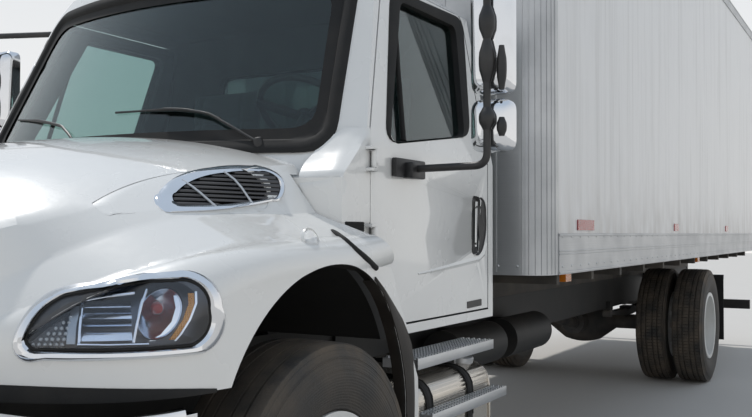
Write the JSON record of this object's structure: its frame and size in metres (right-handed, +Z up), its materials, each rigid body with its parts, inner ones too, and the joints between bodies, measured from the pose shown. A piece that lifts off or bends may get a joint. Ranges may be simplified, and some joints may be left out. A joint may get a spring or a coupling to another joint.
{
  "type": "box truck",
  "caption": "Conventional-cab box truck with tilting hood, opening cab and cargo doors, steered front wheels and dual rear wheels.",
  "frame": {"origin": "on the ground under the middle of the truck", "axes": "+X forward, +Y to the left (driver) side, +Z up"},
  "size_m": [10.86, 3.0086, 3.79],
  "materials": {
    "chassis_black": "semi-gloss black frame paint",
    "axle_black": "painted castings and springs",
    "engine_grey": "painted cast iron",
    "radiator_core": "matt finned core",
    "bumper_chrome": "bright plated steel",
    "cab_white": "gloss white paint",
    "glass_tint": "light green tinted glass",
    "dash_grey": "grained dark grey plastic",
    "wheel_black": "moulded black rim",
    "seat_base": "black painted steel",
    "seat_cloth": "grey woven cloth",
    "tank_aluminium": "polished aluminium",
    "step_aluminium": "serrated bare aluminium",
    "steel_worn": "dull heat-stained steel",
    "floor_dark": "undercoated steel and hardwood",
    "box_aluminium": "bare aluminium sheet and extrusion",
    "box_white": "white glass-fibre faced panel",
    "tyre": "dusty black rubber",
    "rim_white": "white painted steel disc wheel",
    "liner_black": "black moulded liner",
    "grille_chrome": "bright bars",
    "lamp_clear": "clear lamp lens over reflectors",
    "mirror_black": "black tube and clamps with bright heads",
    "rubber_black": "black rubber sheet",
    "lamp_red": "red lens",
    "lamp_amber": "amber lens"
  },
  "bodies": {
    "chassis": {"chassis_frame": "chassis_black", "engine": "engine_grey", "radiator": "radiator_core", "front_bumper": "bumper_chrome", "tow_eyes": "chassis_black", "cab_shell": "cab_white", "cab_glass": "glass_tint", "dashboard": "dash_grey", "steering_wheel": "wheel_black", "seat_bases": "seat_base", "seat_cushions": "seat_cloth", "front_axle": "axle_black", "leaf_springs": "axle_black", "rear_axle": "axle_black", "propshaft": "axle_black", "fuel_tank": "tank_aluminium", "battery_box": "chassis_black", "exhaust": "steel_worn", "air_tanks": "chassis_black", "cab_steps": "step_aluminium", "box_floor": "floor_dark", "cross_sills": "floor_dark", "long_sills": "floor_dark", "box_front_wall": "box_aluminium", "box_panels": "box_white", "box_rails": "box_aluminium", "box_roof": "box_aluminium", "box_rear_frame": "box_aluminium", "rear_bumper": "chassis_black", "mud_flaps": "rubber_black", "red_lamps": "lamp_red", "amber_lamps": "lamp_amber"},
    "hood": {"hood_shell": "cab_white", "grille": "grille_chrome", "headlights": "grille_chrome", "headlight_lenses": "lamp_clear", "hood_vents": "grille_chrome", "fender_liners": "liner_black"},
    "door_left": {"door_left": "cab_white", "door_glass_left": "glass_tint", "mirror_left": "mirror_black"},
    "knuckle_left": {"knuckle_left": "axle_black"},
    "wheel_front_left": {"tyre_front_left": "tyre", "rim_front_left": "rim_white"},
    "wheel_rear_left": {"tyres_rear_left": "tyre", "rims_rear_left": "rim_white"},
    "cargo_door_left": {"cargo_door_left": "box_white"},
    "door_right": {"door_right": "cab_white", "door_glass_right": "glass_tint", "mirror_right": "mirror_black"},
    "knuckle_right": {"knuckle_right": "axle_black"},
    "wheel_front_right": {"tyre_front_right": "tyre", "rim_front_right": "rim_white"},
    "wheel_rear_right": {"tyres_rear_right": "tyre", "rims_rear_right": "rim_white"},
    "cargo_door_right": {"cargo_door_right": "box_white"},
    "tie_rod": {"tie_rod": "axle_black"}
  },
  "joints": [
    {"name": "hood_tilt", "type": "hinge", "parent": "chassis", "child": "hood", "pos_m": [5.355, 0, 0.955], "axis": [0, 1, 0], "range_deg": [0, 65]},
    {"name": "door_left_swing", "type": "hinge", "parent": "chassis", "child": "door_left", "pos_m": [3.904, 1.061, 1.7], "axis": [0, 0, -1], "range_deg": [0, 65]},
    {"name": "steer_left", "type": "hinge", "parent": "chassis", "child": "knuckle_left", "pos_m": [4.37, 0.94, 0.522], "axis": [0, 0, 1], "range_deg": [-40, 40]},
    {"name": "wheel_front_left_spin", "type": "hinge", "parent": "knuckle_left", "child": "wheel_front_left", "pos_m": [4.37, 1.06, 0.522], "axis": [0, 1, 0], "continuous": true},
    {"name": "wheel_rear_left_spin", "type": "hinge", "parent": "chassis", "child": "wheel_rear_left", "pos_m": [-2.23, 0.92, 0.522], "axis": [0, 1, 0], "continuous": true},
    {"name": "cargo_door_left_swing", "type": "hinge", "parent": "chassis", "child": "cargo_door_left", "pos_m": [-5.4, 1.272, 2.4], "axis": [0, 0, -1], "range_deg": [0, 270]},
    {"name": "door_right_swing", "type": "hinge", "parent": "chassis", "child": "door_right", "pos_m": [3.904, -1.061, 1.7], "axis": [0, 0, 1], "range_deg": [0, 65]},
    {"name": "steer_right", "type": "hinge", "parent": "chassis", "child": "knuckle_right", "pos_m": [4.37, -0.94, 0.522], "axis": [0, 0, 1], "range_deg": [-40, 40]},
    {"name": "wheel_front_right_spin", "type": "hinge", "parent": "knuckle_right", "child": "wheel_front_right", "pos_m": [4.37, -1.06, 0.522], "axis": [0, 1, 0], "continuous": true},
    {"name": "wheel_rear_right_spin", "type": "hinge", "parent": "chassis", "child": "wheel_rear_right", "pos_m": [-2.23, -0.92, 0.522], "axis": [0, 1, 0], "continuous": true},
    {"name": "cargo_door_right_swing", "type": "hinge", "parent": "chassis", "child": "cargo_door_right", "pos_m": [-5.4, -1.272, 2.4], "axis": [0, 0, 1], "range_deg": [0, 270]},
    {"name": "tie_rod_pivot", "type": "hinge", "parent": "knuckle_left", "child": "tie_rod", "pos_m": [4.175, 0.94, 0.385], "axis": [0, 0, 1], "range_deg": [-40, 40]}
  ],
  "couplings": [
    {"joint": "steer_right", "follows": "steer_left", "ratio": 1},
    {"joint": "tie_rod_pivot", "follows": "steer_left", "ratio": -1}
  ]
}
